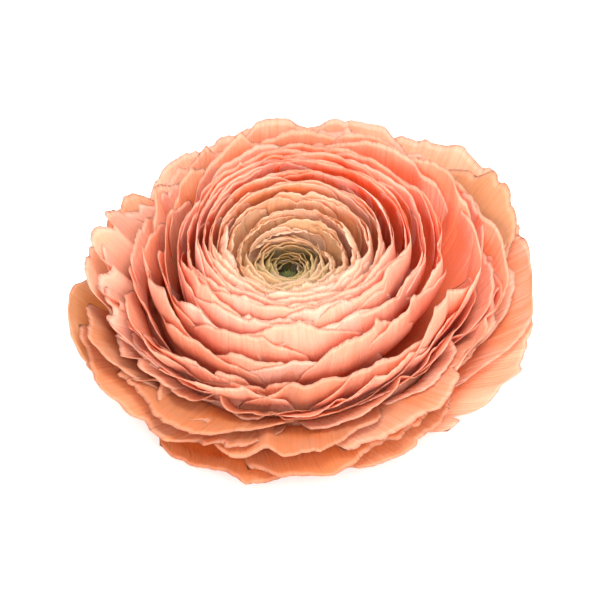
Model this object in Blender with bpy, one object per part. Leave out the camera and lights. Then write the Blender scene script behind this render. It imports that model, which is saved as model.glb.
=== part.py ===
"""A ranunculus flower head, cut just under the bloom: stem stub, sepals, petals and the green heart.

Sizes are in millimetres, and to_metres() turns them into Blender's metres. The bloom's axis is +Z.
Every petal is a patch of one of a family of nested shells. A shell is the surface that a layer's side
curve sweeps round the axis: layer 0 is the innermost shell and layer 1 the outermost.
"""

import math

import bmesh
import bpy
from mathutils import Vector

# Driving dimensions, in millimetres
BLOOM_RADIUS = 43.0  # from the axis to the tips of the outermost petals
INNER_TIP_RADIUS = 8.0  # tips of the innermost separate petals
RIM_HEIGHT = 32.0  # the highest ring of petal tips
RIM_LAYER = 0.42  # the layer that reaches that height
HEART_HEIGHT = 25.0  # tips of the innermost separate petals
OUTER_TIP_DROP = 15.5  # how far the outermost tips lie below the rim
PETAL_THICKNESS = 0.3
SEAT_GAP = 0.35  # between a petal's claw and the receptacle
SHOULDER_DROP = 0.20  # how much shorter a petal is at its sides, as a share of its length

STEM_RADIUS = 2.6
STEM_CUT_HEIGHT = 2.4  # the cut end, just clear of the surface that the bloom lies on
RECEPTACLE_RADIUS = 7.0
RECEPTACLE_WAIST = 7.6  # height of the receptacle's widest ring
RECEPTACLE_RISE = 10.9  # from there to its top

LOWEST_SEAT = 7.4  # height of the outermost petals' claws on the receptacle
SEAT_RISE = 8.6  # from there to the innermost petals' claws

SPIRAL_PETALS = 37
SPIRAL_TURN = math.radians(-85.0)  # twice the golden angle, less a full turn
SPIRAL_START = math.radians(205.0)
OUTER_SPIRAL_LAYER = 0.855
WIDEST_SPREAD = 0.70  # half width over tip radius, so that every second petal of the spiral just meets
WIDEST_HALF_WIDTH = 17.5
SPIRAL_TUCK = 0.016  # one side of a petal lies this many layers further in than its middle

GRID_ACROSS = 6
GRID_ALONG = 6
TURNED_STEPS = 24
HEART_LOBES = 5
HEART_STEPS = 40

# Guard petals, from the right round: direction in degrees, layer, half width, length against its shell's
GUARD_PETALS = [
    (3, 0.955, 15.6, 1.02),
    (24, 0.91, 15, 1.04),
    (46, 1.0, 15.8, 1.03),
    (75, 0.955, 15.6, 1.01),
    (95.5, 0.91, 15, 1.04),
    (116, 1.0, 16.2, 1.02),
    (147, 0.955, 15.6, 1),
    (167.5, 0.91, 14.2, 1.04),
    (188, 1.0, 16.2, 0.99),
    (219, 0.955, 15.6, 1.04),
    (239.5, 0.91, 15, 1.06),
    (260, 1.0, 16.2, 1),
    (289, 0.955, 15.6, 1.04),
    (314, 0.91, 15, 1.1),
    (338, 1.0, 15.8, 1.03),
]

# These lists go round the bloom from its right side, in steps of 30 degrees
TIP_DROP = [0.5, -3.0, -4.0, -3.6, -3.0, -1.5, 0.0, 3.5, 6.5, 7.5, 7.0, 4.0]  # how far the outermost tips sink
TIP_REACH = [4.2, 3.6, 0.8, -2.5, -3.8, -3.2, -1.8, -2.2, -2.5, -3.0, -3.2, -1.5]  # and how far they reach out
SPREAD = [0.8, 0.7, 0.3, 0.1, 0.1, 0.1, 0.25, 0.7, 1.0, 1.0, 1.0, 0.9]  # 0 for a cupped guard petal, 1 for an open one
LEAN = [2.0, 0.5, 1.0, 2.5, 5.0, 7.5, 8.0, 8.0, 8.5, 8.5, 7.5, 5.0]  # how far the ball's petals lean to the heart
OPEN_FROM = 20.0  # petals nearer the axis than this don't sink or reach out
OPEN_LAYERS = (0.80, 0.96)  # the layers over which SPREAD sets in
LEAN_RADII = (8.0, 32.0, 34.0, 42.5)  # the lean grows over the first two and fades over the last two
LEAN_HEIGHTS = (4.0, 16.0)
CROWDING = 1.2  # over 1, the layers crowd towards the heart

SEPAL_COUNT = 5
SEPAL_HALF_WIDTH = 4.2
SEPAL_THICKNESS = 0.6


def to_metres(x, y, z):
    return Vector((x, y, z)) / 1000.0


def make_material(name, colour, roughness):
    material = bpy.data.materials.new(name)
    material.use_nodes = True
    shader = material.node_tree.nodes["Principled BSDF"]
    shader.inputs["Base Color"].default_value = (*colour, 1.0)
    shader.inputs["Roughness"].default_value = roughness
    shader.inputs["Metallic"].default_value = 0.0
    return material


def add_object(name, mesh, material, bloom):
    obj = bpy.data.objects.new(name, mesh)
    obj.data.materials.append(material)
    obj.parent = bloom
    bpy.context.scene.collection.objects.link(obj)
    return obj


def bezier(points, t):
    """A point of a cubic curve in the (radius, height) plane."""
    a, b, c, d = points
    k = 1.0 - t
    weights = (k**3, 3 * k * k * t, 3 * k * t * t, t**3)
    return tuple(sum(w * p[i] for w, p in zip(weights, (a, b, c, d))) for i in (0, 1))


def receptacle_radius(height):
    """The dome is half an ellipse, turned round the axis."""
    share = (height - RECEPTACLE_WAIST) / RECEPTACLE_RISE
    return RECEPTACLE_RADIUS * math.sqrt(1.0 - share * share)


def tip_height(layer):
    """Tips rise from the heart to the rim, then fall away to the guard petals."""
    rise = math.sin(math.pi / 2 * min(layer / RIM_LAYER, 1.0))
    fall = max(0.0, (layer - RIM_LAYER) / (1.0 - RIM_LAYER)) ** 1.6
    return HEART_HEIGHT + (RIM_HEIGHT - HEART_HEIGHT) * rise - OUTER_TIP_DROP * fall


def blend(inner, outer, share):
    share = min(max(share, 0.0), 1.0)
    share = share * share * (3.0 - 2.0 * share)
    return inner + (outer - inner) * share


def tip_radius(layer):
    return INNER_TIP_RADIUS + (BLOOM_RADIUS - INNER_TIP_RADIUS) * layer * abs(layer) ** (CROWDING - 1.0)


def between_directions(values, direction):
    """The value at a direction, smoothly between the evenly spaced ones of a list."""
    place = (direction / math.tau * len(values)) % len(values)
    first = int(place)
    return blend(values[first], values[(first + 1) % len(values)], place - first)


def side_curve(layer, direction):
    """The four control points of a layer's side curve, from its seat on the receptacle to its tip."""
    seat_height = LOWEST_SEAT + SEAT_RISE * (1.0 - layer)
    seat = (receptacle_radius(seat_height) + SEAT_GAP, seat_height)
    # the innermost petals are narrow cups, and by a third of the way out they have the full bowl
    opened = layer / 0.3
    low, high = OPEN_LAYERS
    spread = between_directions(SPREAD, direction) * blend(0.0, 1.0, (layer - low) / (high - low))
    leaving = math.radians(64.0 - 96.0 * layer + blend(6.0, 0.0, opened) - 12.0 * spread)
    lead = blend(3.2, 4.5 + 12.0 * layer, opened)
    root = (seat[0] + lead * math.cos(leaving), seat[1] + lead * math.sin(leaving))
    tip = (tip_radius(layer), tip_height(layer))
    swell = blend(1.2, 5.5 - 8.5 * layer, opened)
    drop = blend(5.5, 9.0 + 11.5 * layer, opened)
    swell += (-9.0 - swell) * spread
    drop += (12.0 - drop) * spread
    belly = (tip[0] + swell, tip[1] - drop)
    return seat, root, belly, tip


def settle(radius, height, direction):
    """Leans the ball's petals towards the heart, and lets the open petals sink and reach out."""
    inner_from, inner_to, outer_from, outer_to = LEAN_RADII
    low, high = LEAN_HEIGHTS
    lean = blend(0.0, 1.0, (radius - inner_from) / (inner_to - inner_from))
    lean *= blend(1.0, 0.0, (radius - outer_from) / (outer_to - outer_from))
    lean *= blend(0.0, 1.0, (height - low) / (high - low))
    share = max(0.0, (radius - OPEN_FROM) / (BLOOM_RADIUS - OPEN_FROM)) ** 2
    height -= between_directions(TIP_DROP, direction) * share
    radius += between_directions(TIP_REACH, direction) * share
    return radius - between_directions(LEAN, direction) * lean, height


def blade_width(along):
    """Share of the half width: a narrow claw, the broadest blade at two thirds, and a blunt top."""
    claw = 0.07
    spread = min(along / 0.66, 1.0)
    grown = claw + (1.0 - claw) * spread * spread * (3.0 - 2.0 * spread)
    top = max(0.0, (along - 0.66) / 0.34)
    return grown * (1.0 - 0.16 * top * top)


def petal_point(layer, tuck, direction, half_width, length, across, along):
    """across runs from -1 to 1 between the petal's sides, and along from 0 at the claw to 1 at the tip."""
    shoulder = 1.0 - SHOULDER_DROP * abs(across) ** 2.6
    nearby = direction + across * half_width / tip_radius(layer)
    radius, height = bezier(side_curve(layer - tuck * across, nearby), along * shoulder * length)
    angle = direction + across * half_width * blade_width(along) / radius
    radius, height = settle(radius, height, angle)
    return to_metres(radius * math.cos(angle), radius * math.sin(angle), height)


def make_petal(name, direction, layer, tuck, half_width, length, material, bloom):
    """A grid is laid on the petal's shell, and Solidify gives it its thickness."""
    shape = bmesh.new()
    bmesh.ops.create_grid(shape, x_segments=GRID_ACROSS, y_segments=GRID_ALONG, size=1.0)
    for vertex in shape.verts:
        across, along = vertex.co.x, (vertex.co.y + 1.0) / 2.0
        vertex.co = petal_point(layer, tuck, direction, half_width, length, across, along)
    mesh = bpy.data.meshes.new(name)
    shape.to_mesh(mesh)
    shape.free()
    mesh.shade_smooth()
    petal = add_object(name, mesh, material, bloom)
    thickness = petal.modifiers.new("thickness", "SOLIDIFY")
    thickness.thickness = PETAL_THICKNESS / 1000.0
    thickness.offset = 0.0
    return petal


def make_turned(name, profile, material, bloom):
    """A solid turned round the axis from (radius, height) points that run down its outer side."""
    shape = bmesh.new()
    corners = [shape.verts.new(to_metres(radius, 0.0, height)) for radius, height in profile]
    for upper, lower in zip(corners, corners[1:]):
        shape.edges.new((upper, lower))
    mesh = bpy.data.meshes.new(name)
    shape.to_mesh(mesh)
    shape.free()
    turned = add_object(name, mesh, material, bloom)
    screw = turned.modifiers.new("turn", "SCREW")
    screw.axis = "Z"
    screw.steps = screw.render_steps = TURNED_STEPS
    screw.use_merge_vertices = True
    screw.merge_threshold = 0.00005
    screw.use_smooth_shade = True
    return turned


def make_stem(material, bloom):
    """The stem stub and the receptacle grew as one piece: a dome on a flared neck."""
    top = RECEPTACLE_WAIST + RECEPTACLE_RISE
    dome = []
    for step in range(9):
        turn = math.pi / 2 * step / 8
        dome.append((RECEPTACLE_RADIUS * math.sin(turn), RECEPTACLE_WAIST + RECEPTACLE_RISE * math.cos(turn)))
    dome[0] = (0.0, top)
    neck = [(6.4, 7.0), (4.9, 6.2), (3.4, 5.2), (STEM_RADIUS, 3.8)]
    cut = [(STEM_RADIUS, STEM_CUT_HEIGHT), (0.0, STEM_CUT_HEIGHT)]
    return make_turned("stem_and_receptacle", dome + neck + cut, material, bloom)


def make_carpels(material, bloom):
    """The cluster of carpels, one egg-shaped cone that stands on the receptacle's top."""
    foot = RECEPTACLE_WAIST + RECEPTACLE_RISE + SEAT_GAP
    outline = [(0.0, 4.4), (0.9, 4.1), (1.7, 3.2), (2.2, 1.9), (2.1, 0.7), (1.6, 0.0), (0.0, 0.0)]
    profile = [(radius, foot + height) for radius, height in outline]
    return make_turned("carpel_cluster", profile, material, bloom)


def make_heart(material, bloom):
    """The smallest petals, furled one inside another round the carpels, joined as one scalloped ring."""
    section = [(2.9, 18.3), (4.3, 16.9), (5.6, 18.6), (6.4, 21.0), (6.7, 23.2), (6.2, 25.0), (5.1, 25.2)]
    section += [(4.0, 23.4), (3.2, 20.9)]
    shape = bmesh.new()
    rings = []
    for step in range(HEART_STEPS):
        direction = math.tau * step / HEART_STEPS
        ring = []
        for radius, height in section:
            # the lobes grow towards the rim, and each leans round a little
            share = (height - 16.9) / (25.2 - 16.9)
            lobe = math.cos(HEART_LOBES * (direction - 0.35 * share)) * share
            radius *= 1.0 + 0.05 * lobe
            height += 0.55 * lobe
            corner = to_metres(radius * math.cos(direction), radius * math.sin(direction), height)
            ring.append(shape.verts.new(corner))
        rings.append(ring)
    for step, ring in enumerate(rings):
        following = rings[(step + 1) % HEART_STEPS]
        for place in range(len(section)):
            shape.faces.new((ring[place], following[place], following[place - 1], ring[place - 1]))
    bmesh.ops.recalc_face_normals(shape, faces=shape.faces)
    mesh = bpy.data.meshes.new("heart_petals")
    shape.to_mesh(mesh)
    shape.free()
    mesh.shade_smooth()
    return add_object("heart_petals", mesh, material, bloom)


def make_sepal(number, material, bloom):
    """A sepal springs from the neck and lies under the guard petals' bellies."""
    direction = math.radians(30.0 + 360.0 / SEPAL_COUNT * number)
    curve = ((5.9, 6.1), (8.3, 4.4), (11.0, 2.5), (14.5, 1.95))
    shape = bmesh.new()
    bmesh.ops.create_grid(shape, x_segments=4, y_segments=5, size=1.0)
    for vertex in shape.verts:
        across, along = vertex.co.x, (vertex.co.y + 1.0) / 2.0
        radius, height = bezier(curve, along)
        width = SEPAL_HALF_WIDTH * (0.35 + 0.65 * math.sin(math.pi * (0.08 + 0.80 * along)))
        angle = direction + across * width / radius
        vertex.co = to_metres(radius * math.cos(angle), radius * math.sin(angle), height)
    name = f"sepal_{number + 1}"
    mesh = bpy.data.meshes.new(name)
    shape.to_mesh(mesh)
    shape.free()
    mesh.shade_smooth()
    sepal = add_object(name, mesh, material, bloom)
    thickness = sepal.modifiers.new("thickness", "SOLIDIFY")
    thickness.thickness = SEPAL_THICKNESS / 1000.0
    thickness.offset = 0.0
    return sepal


def make_guard_petals(material, bloom):
    """The large outer petals, set by hand on three shells, so that neighbours overlap without touching."""
    for number, (degrees, layer, half_width, length) in enumerate(GUARD_PETALS, 1):
        name = f"guard_petal_{number:02d}"
        make_petal(name, math.radians(degrees), layer, 0.0, half_width, length, material, bloom)


def make_spiral_petals(material, bloom):
    """The inner petals follow one spiral, each a step further in than the last."""
    for number in range(SPIRAL_PETALS):
        layer = OUTER_SPIRAL_LAYER * (1.0 - number / (SPIRAL_PETALS - 1))
        direction = SPIRAL_START + number * SPIRAL_TURN
        half_width = min(WIDEST_SPREAD * tip_radius(layer), WIDEST_HALF_WIDTH)
        name = f"petal_{number + 1:02d}"
        make_petal(name, direction, layer, SPIRAL_TUCK, half_width, 1.0, material, bloom)


def stand_on_origin(bloom):
    """Moves the bloom so that the middle of its box's underside is the origin."""
    bpy.context.view_layer.update()
    graph = bpy.context.evaluated_depsgraph_get()
    corners = []
    for obj in bloom.children:
        evaluated = obj.evaluated_get(graph)
        corners += [evaluated.matrix_world @ vertex.co for vertex in evaluated.data.vertices]
    low = Vector([min(corner[axis] for corner in corners) for axis in range(3)])
    high = Vector([max(corner[axis] for corner in corners) for axis in range(3)])
    bloom.location = (-(low.x + high.x) / 2, -(low.y + high.y) / 2, -low.z)


def main():
    for obj in list(bpy.data.objects):
        bpy.data.objects.remove(obj)
    bloom = bpy.data.objects.new("bloom", None)
    bpy.context.scene.collection.objects.link(bloom)
    guard = make_material("guard_petal", (0.86, 0.42, 0.20), 0.6)
    petal = make_material("petal", (0.92, 0.38, 0.24), 0.6)
    heart = make_material("heart", (0.62, 0.58, 0.26), 0.6)
    green = make_material("green_stem", (0.30, 0.42, 0.14), 0.6)
    make_stem(green, bloom)
    make_carpels(heart, bloom)
    make_heart(heart, bloom)
    for number in range(SEPAL_COUNT):
        make_sepal(number, green, bloom)
    make_guard_petals(guard, bloom)
    make_spiral_petals(petal, bloom)
    stand_on_origin(bloom)


main()
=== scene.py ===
import math

import bpy
import numpy as np
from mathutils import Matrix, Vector


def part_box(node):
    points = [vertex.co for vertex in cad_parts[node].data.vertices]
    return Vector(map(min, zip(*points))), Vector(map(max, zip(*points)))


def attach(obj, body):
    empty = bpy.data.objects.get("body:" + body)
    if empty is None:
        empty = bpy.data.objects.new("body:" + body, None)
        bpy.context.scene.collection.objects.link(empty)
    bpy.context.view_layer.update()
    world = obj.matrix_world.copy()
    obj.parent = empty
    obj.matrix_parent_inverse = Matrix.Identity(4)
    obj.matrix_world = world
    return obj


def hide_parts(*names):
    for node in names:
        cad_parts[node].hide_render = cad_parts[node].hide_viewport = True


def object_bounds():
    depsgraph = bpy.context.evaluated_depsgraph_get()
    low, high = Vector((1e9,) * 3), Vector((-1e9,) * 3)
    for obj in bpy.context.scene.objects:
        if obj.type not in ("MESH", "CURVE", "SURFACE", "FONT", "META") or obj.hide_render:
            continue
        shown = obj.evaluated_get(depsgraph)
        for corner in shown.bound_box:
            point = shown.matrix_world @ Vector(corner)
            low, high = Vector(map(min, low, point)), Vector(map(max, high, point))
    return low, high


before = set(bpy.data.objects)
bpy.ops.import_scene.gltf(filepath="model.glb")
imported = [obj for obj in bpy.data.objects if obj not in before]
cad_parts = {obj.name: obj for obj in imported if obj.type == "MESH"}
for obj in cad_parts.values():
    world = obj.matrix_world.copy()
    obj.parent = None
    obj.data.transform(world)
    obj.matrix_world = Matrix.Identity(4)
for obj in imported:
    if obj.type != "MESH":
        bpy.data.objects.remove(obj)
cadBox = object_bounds()

# the bloom's axis runs through the stem stub, and its cut end gives the height of everything else
stemCut = 0.0024  # height of the cut end
stemLow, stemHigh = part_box("stem_and_receptacle")
axisX = (stemLow.x + stemHigh.x) / 2
axisY = (stemLow.y + stemHigh.y) / 2
bloomZ = stemLow.z - stemCut


# small helpers

# value may be a socket, or a plain number, colour or name
def plug(tree, value, socket):
    if isinstance(value, bpy.types.NodeSocket):
        tree.links.new(value, socket)
    else:
        socket.default_value = value


# inputs holds what goes into the node, by the socket's name or number
def addNode(tree, kind, inputs=None, **settings):
    node = tree.nodes.new(kind)
    for key, value in settings.items():
        setattr(node, key, value)
    for name, value in (inputs or {}).items():
        plug(tree, value, node.inputs[name])
    return node


def mathNode(tree, operation, first, second=None, clamp=False):
    given = {0: first} if second is None else {0: first, 1: second}
    return addNode(tree, "ShaderNodeMath", given, operation=operation, use_clamp=clamp).outputs[0]


def times(tree, first, second):
    return mathNode(tree, "MULTIPLY", first, second)


def plus(tree, first, second):
    return mathNode(tree, "ADD", first, second)


def minus(tree, first, second, clamp=False):
    return mathNode(tree, "SUBTRACT", first, second, clamp)


def rangeNode(tree, value, low, high, outLow=0.0, outHigh=1.0, smooth=True):
    given = {"Value": value, "From Min": low, "From Max": high, "To Min": outLow, "To Max": outHigh}
    kind = "SMOOTHSTEP" if smooth else "LINEAR"
    return addNode(tree, "ShaderNodeMapRange", given, interpolation_type=kind).outputs[0]


def vectorNode(tree, x, y, z):
    return addNode(tree, "ShaderNodeCombineXYZ", {0: x, 1: y, 2: z}).outputs[0]


# a Geometry Nodes group with its named inputs, and its last steps: real meshes with one material
def newGroup(name, geometry, inputs, material, made):
    tree = bpy.data.node_groups.new(name, "GeometryNodeTree")
    face = tree.interface
    face.new_socket(geometry, in_out="INPUT", socket_type="NodeSocketGeometry")
    for label, value in inputs.items():
        kind = "NodeSocketInt" if isinstance(value, int) else "NodeSocketFloat"
        face.new_socket(label, in_out="INPUT", socket_type=kind).default_value = value
    face.new_socket(material, in_out="INPUT", socket_type="NodeSocketMaterial")
    face.new_socket(made, in_out="OUTPUT", socket_type="NodeSocketGeometry")
    return tree, addNode(tree, "NodeGroupInput").outputs


def realize(tree, geometry, material):
    real = addNode(tree, "GeometryNodeRealizeInstances", {0: geometry})
    coat = addNode(tree, "GeometryNodeSetMaterial", {"Geometry": real.outputs[0], "Material": material})
    return coat.outputs[0]


def storeNode(tree, geometry, name, value, domain):
    inputs = {"Geometry": geometry, "Name": name, "Value": value}
    kind = "GeometryNodeStoreNamedAttribute"
    return addNode(tree, kind, inputs, data_type="FLOAT", domain=domain).outputs[0]


# points for count things, numbered from 0
def countedPoints(tree, count):
    line = addNode(tree, "GeometryNodeMeshLine", {"Count": count, "Offset": (0.0, 0.0, 0.0)})
    return line.outputs[0], addNode(tree, "GeometryNodeInputIndex").outputs[0]


def randomNode(tree, low, high, seed=None):
    given = {2: low, 3: high} if seed is None else {2: low, 3: high, "Seed": seed}
    return addNode(tree, "FunctionNodeRandomValue", given, data_type="FLOAT").outputs[1]


# moves points round the middle, each at its own distance, turn and height
def aroundMiddle(tree, points, radius, turn, height):
    x = times(tree, radius, mathNode(tree, "COSINE", turn))
    y = times(tree, radius, mathNode(tree, "SINE", turn))
    spot = vectorNode(tree, x, y, height)
    return addNode(tree, "GeometryNodeSetPosition", {"Geometry": points, "Position": spot}).outputs[0]


def instanceNode(tree, points, instance, rotation, scale):
    given = {"Points": points, "Instance": instance, "Rotation": rotation, "Scale": scale}
    return addNode(tree, "GeometryNodeInstanceOnPoints", given).outputs[0]


# geometry nodes inputs are set by the socket's identifier
def setInputs(modifier, values):
    sockets = {item.name: item for item in modifier.node_group.interface.items_tree
               if item.item_type == "SOCKET" and item.in_out == "INPUT"}
    for name, value in values.items():
        modifier[sockets[name].identifier] = value


def addNodes(piece, name, tree, values):
    modifier = piece.modifiers.new(name, "NODES")
    modifier.node_group = tree
    setInputs(modifier, values)


# the evaluated result becomes the object's own plain mesh
def bakeModifiers(piece):
    graph = bpy.context.evaluated_depsgraph_get()
    mesh = bpy.data.meshes.new_from_object(piece.evaluated_get(graph), depsgraph=graph)
    piece.modifiers.clear()
    old = piece.data
    piece.data = mesh
    bpy.data.meshes.remove(old)
    mesh.name = piece.name


def newObject(name, mesh):
    piece = bpy.data.objects.new(name, mesh)
    bpy.context.scene.collection.objects.link(piece)
    return piece


def blend(inner, outer, share):
    share = np.clip(share, 0.0, 1.0)
    share = share * share * (3.0 - 2.0 * share)
    return inner + (outer - inner) * share


# smooth random values in -1..1 along a line of places from 0 to 1, with count knots
def waviness(places, count, rng):
    knots = rng.uniform(-1.0, 1.0, count + 3)
    place = np.clip(places, 0.0, 1.0) * count
    first = np.clip(place.astype(int), 0, count)
    share = place - first
    share = share * share * (3.0 - 2.0 * share)
    return knots[first] * (1.0 - share) + knots[first + 1] * share


# radius and height along a smooth curve that four corners draw
def curvePoint(corners, along):
    back = 1.0 - along
    weights = (back**3, 3 * back * back * along, 3 * back * along * along, along**3)
    radius = sum(weight * corner[0] for weight, corner in zip(weights, corners))
    return radius, sum(weight * corner[1] for weight, corner in zip(weights, corners))


# millimetres about the bloom's axis, made places in the scene
def placed(radius, height, heading):
    x = axisX + radius * np.cos(heading) / 1000.0
    y = axisY + radius * np.sin(heading) / 1000.0
    return x, y, bloomZ + height / 1000.0


# places across (-1 to 1) and along (0 to 1) a sheet of rows and columns
def sheetPlaces(rows, columns):
    across = np.linspace(-1.0, 1.0, columns)[None, :] * np.ones((rows, 1))
    along = np.linspace(0.0, 1.0, rows)[:, None] * np.ones((1, columns))
    return across, along


def newSheet(name, x, y, z, attributes):
    rows, columns = x.shape
    points = np.stack([x, y, z], axis=-1).reshape(-1, 3)
    corner = np.arange(rows * columns).reshape(rows, columns)
    around = [corner[:-1, :-1], corner[:-1, 1:], corner[1:, 1:], corner[1:, :-1]]
    mesh = bpy.data.meshes.new(name)
    mesh.from_pydata(points.tolist(), [], np.stack(around, axis=-1).reshape(-1, 4).tolist())
    for label, values in attributes.items():
        attribute = mesh.attributes.new(label, "FLOAT", "POINT")
        attribute.data.foreach_set("value", values.astype(np.float32).ravel())
    return newObject(name, mesh)


# the bloom's shells, in millimetres

bloom = {
    "radius": 43.0,
    "innerTipRadius": 8.0,
    "rimHeight": 32.0,
    "rimLayer": 0.42,
    "heartHeight": 25.0,
    "outerTipDrop": 15.5,
    "receptacleRadius": 7.0,
    "receptacleWaist": 7.6,
    "receptacleRise": 10.9,
    "lowestSeat": 7.4,
    "seatRise": 8.6,
    "seatGap": 0.35,
    # these go round the bloom from its right side, in steps of 30 degrees
    "drop": [0.5, -3.0, -4.0, -3.6, -3.0, -1.5, 0.0, 3.5, 6.5, 7.5, 7.0, 4.0],  # how far the outer tips sink
    "reach": [4.2, 3.6, 0.8, -2.5, -3.8, -3.2, -1.8, -2.2, -2.5, -3.0, -3.2, -1.5],
    "spread": [0.8, 0.7, 0.3, 0.1, 0.1, 0.1, 0.25, 0.7, 1.0, 1.0, 1.0, 0.9],  # 0 cupped, 1 laid open
    "lean": [2.0, 0.5, 1.0, 2.5, 5.0, 7.5, 8.0, 8.0, 8.5, 8.5, 7.5, 5.0],  # the ball's petals, to the heart
    "openFrom": 20.0,
    "leanRadii": (8.0, 32.0, 34.0, 42.5),
    "leanHeights": (4.0, 16.0),
    "crowding": 1.2,  # over 1, the petals crowd towards the heart
    "spreadFrom": 0.80,  # the layer where petals start to lie open, and how soon they fully do
    "spreadOver": 0.16,
    "spreadBend": (9.0, 12.0),  # the last bend of a petal laid open, inwards and down from its tip
}


def tipRadius(layer):
    return bloom["innerTipRadius"] + (bloom["radius"] - bloom["innerTipRadius"]) * layer ** bloom["crowding"]


def tipHeight(layer):
    rise = np.sin(math.pi / 2 * np.minimum(layer / bloom["rimLayer"], 1.0))
    fall = np.maximum(0.0, (layer - bloom["rimLayer"]) / (1.0 - bloom["rimLayer"])) ** 1.6
    climb = (bloom["rimHeight"] - bloom["heartHeight"]) * rise
    return bloom["heartHeight"] + climb - bloom["outerTipDrop"] * fall


# a list's value in any direction
def betweenDirections(values, direction):
    values = np.array(values)
    place = (direction / math.tau * len(values)) % len(values)
    first = place.astype(int) % len(values)
    return blend(values[first], values[(first + 1) % len(values)], place - np.floor(place))


# radius and height on a layer's side curve, from its seat on the receptacle to its tip
def shellPoint(layer, along, direction):
    seatHeight = bloom["lowestSeat"] + bloom["seatRise"] * (1.0 - layer)
    share = (seatHeight - bloom["receptacleWaist"]) / bloom["receptacleRise"]
    seatRadius = bloom["receptacleRadius"] * np.sqrt(np.maximum(0.0, 1.0 - share * share)) + bloom["seatGap"]
    opened = layer / 0.3
    opening = blend(0.0, 1.0, (layer - bloom["spreadFrom"]) / bloom["spreadOver"])
    spread = betweenDirections(bloom["spread"], direction) * opening
    leaving = np.radians(64.0 - 96.0 * layer + blend(6.0, 0.0, opened) - 12.0 * spread)
    lead = blend(3.2, 4.5 + 12.0 * layer, opened)
    tipR, tipZ = tipRadius(layer), tipHeight(layer)
    bendR = tipR + blend(1.2, 5.5 - 8.5 * layer, opened)
    bendZ = tipZ - blend(5.5, 9.0 + 11.5 * layer, opened)
    bendR = bendR + (tipR - bloom["spreadBend"][0] - bendR) * spread
    bendZ = bendZ + (tipZ - bloom["spreadBend"][1] - bendZ) * spread
    lowBend = (seatRadius + lead * np.cos(leaving), seatHeight + lead * np.sin(leaving))
    return curvePoint(((seatRadius, seatHeight), lowBend, (bendR, bendZ), (tipR, tipZ)), along)


# the ball's petals lean in, and the open petals hang and reach out
def settle(radius, height, direction):
    innerFrom, innerTo, outerFrom, outerTo = bloom["leanRadii"]
    lowHeight, highHeight = bloom["leanHeights"]
    lean = blend(0.0, 1.0, (radius - innerFrom) / (innerTo - innerFrom))
    lean = lean * blend(1.0, 0.0, (radius - outerFrom) / (outerTo - outerFrom))
    lean = lean * blend(0.0, 1.0, (height - lowHeight) / (highHeight - lowHeight))
    share = np.maximum(0.0, (radius - bloom["openFrom"]) / (bloom["radius"] - bloom["openFrom"])) ** 2
    height = height - betweenDirections(bloom["drop"], direction) * share
    radius = radius + betweenDirections(bloom["reach"], direction) * share
    return radius - betweenDirections(bloom["lean"], direction) * lean, height


# one petal

petalShape = {
    "columns": 53,
    "rows": 33,
    "claw": 0.07,  # width of the claw, as a share of the blade's
    "broadest": 0.66,  # how far along the blade is broadest
    "topNarrowing": 0.16,
    "curlFrom": 0.80,
    "sway": 0.006,  # unevenness of the shell, in layers
    "margin": 0.035,  # how much of the sheet is rounded off to its edge
    "sewn": 0.0000005,  # the two faces' edge points merge within this
}


def petalBlank(name, spec, rng):
    across, along = sheetPlaces(petalShape["rows"], petalShape["columns"])
    along = along**0.92
    side = (across + 1.0) / 2.0
    # outline
    wave = spec["wave"]
    reach = 1.0 - spec["shoulder"] * np.abs(across) ** 2.6
    reach = reach + wave * waviness(side, 5, rng) + 0.45 * wave * waviness(side, 14, rng)
    reach = reach + 0.25 * wave * waviness(side, 30, rng)
    for place, depth, width in spec.get("notches", ()):
        reach = reach - depth * np.exp(-np.abs((across - place) / width) ** 1.3)
    # the unevenness belongs to the margin, so it fades towards the claw
    length = along * (1.0 + (reach - 1.0) * along)
    broadening = np.minimum(length / petalShape["broadest"], 1.0)
    width = blend(petalShape["claw"], 1.0, broadening)
    top = np.maximum(0.0, (length - petalShape["broadest"]) / (1.0 - petalShape["broadest"]))
    width = width * (1.0 - petalShape["topNarrowing"] * top * top)
    # shell, with one side tucked in and a little unevenness of its own
    sway = waviness(side, 4, rng) + 0.6 * waviness(along, 3, rng) + 0.5 * waviness((side + along) / 2, 6, rng)
    layer = spec["layer"] - spec["tuck"] * across + petalShape["sway"] * along * sway
    length = length * spec.get("long", 1.0)
    nearby = spec["direction"] + across * spec["halfWidth"] / tipRadius(spec["layer"])
    radius, height = shellPoint(layer, length, nearby)
    direction = spec["direction"] + across * spec["halfWidth"] * width / radius
    # lean in or out, and a curl at the very margin
    radius = radius + spec["lean"] * length**2
    height = height + spec.get("lift", 0.0) * length**2
    curl = np.maximum(0.0, (length - petalShape["curlFrom"]) / (1.0 - petalShape["curlFrom"])) ** 2
    radius = radius + spec["curl"] * curl
    height = height - abs(spec["curl"]) * 0.35 * curl
    # lengthwise folds
    for place, depth, fold in spec.get("folds", ()):
        ridge = np.exp(-(((across - place) / fold) ** 2)) * blend(0.0, 1.0, (along - 0.25) / 0.6)
        radius = radius - depth * ridge
    radius, height = settle(radius, height, direction)
    attributes = {"across": across, "along": along}
    # the last of these attributes is painted shade: the share by which the petal's colour is darkened
    for label, value in (("layer", spec.get("shade", spec["layer"])), ("tint", spec["tint"]),
                         ("gold", spec.get("gold", 0.0)), ("deep", spec["deep"])):
        attributes[label] = np.full(across.shape, value)
    return newSheet(name, *placed(radius, height, direction), attributes)


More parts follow.
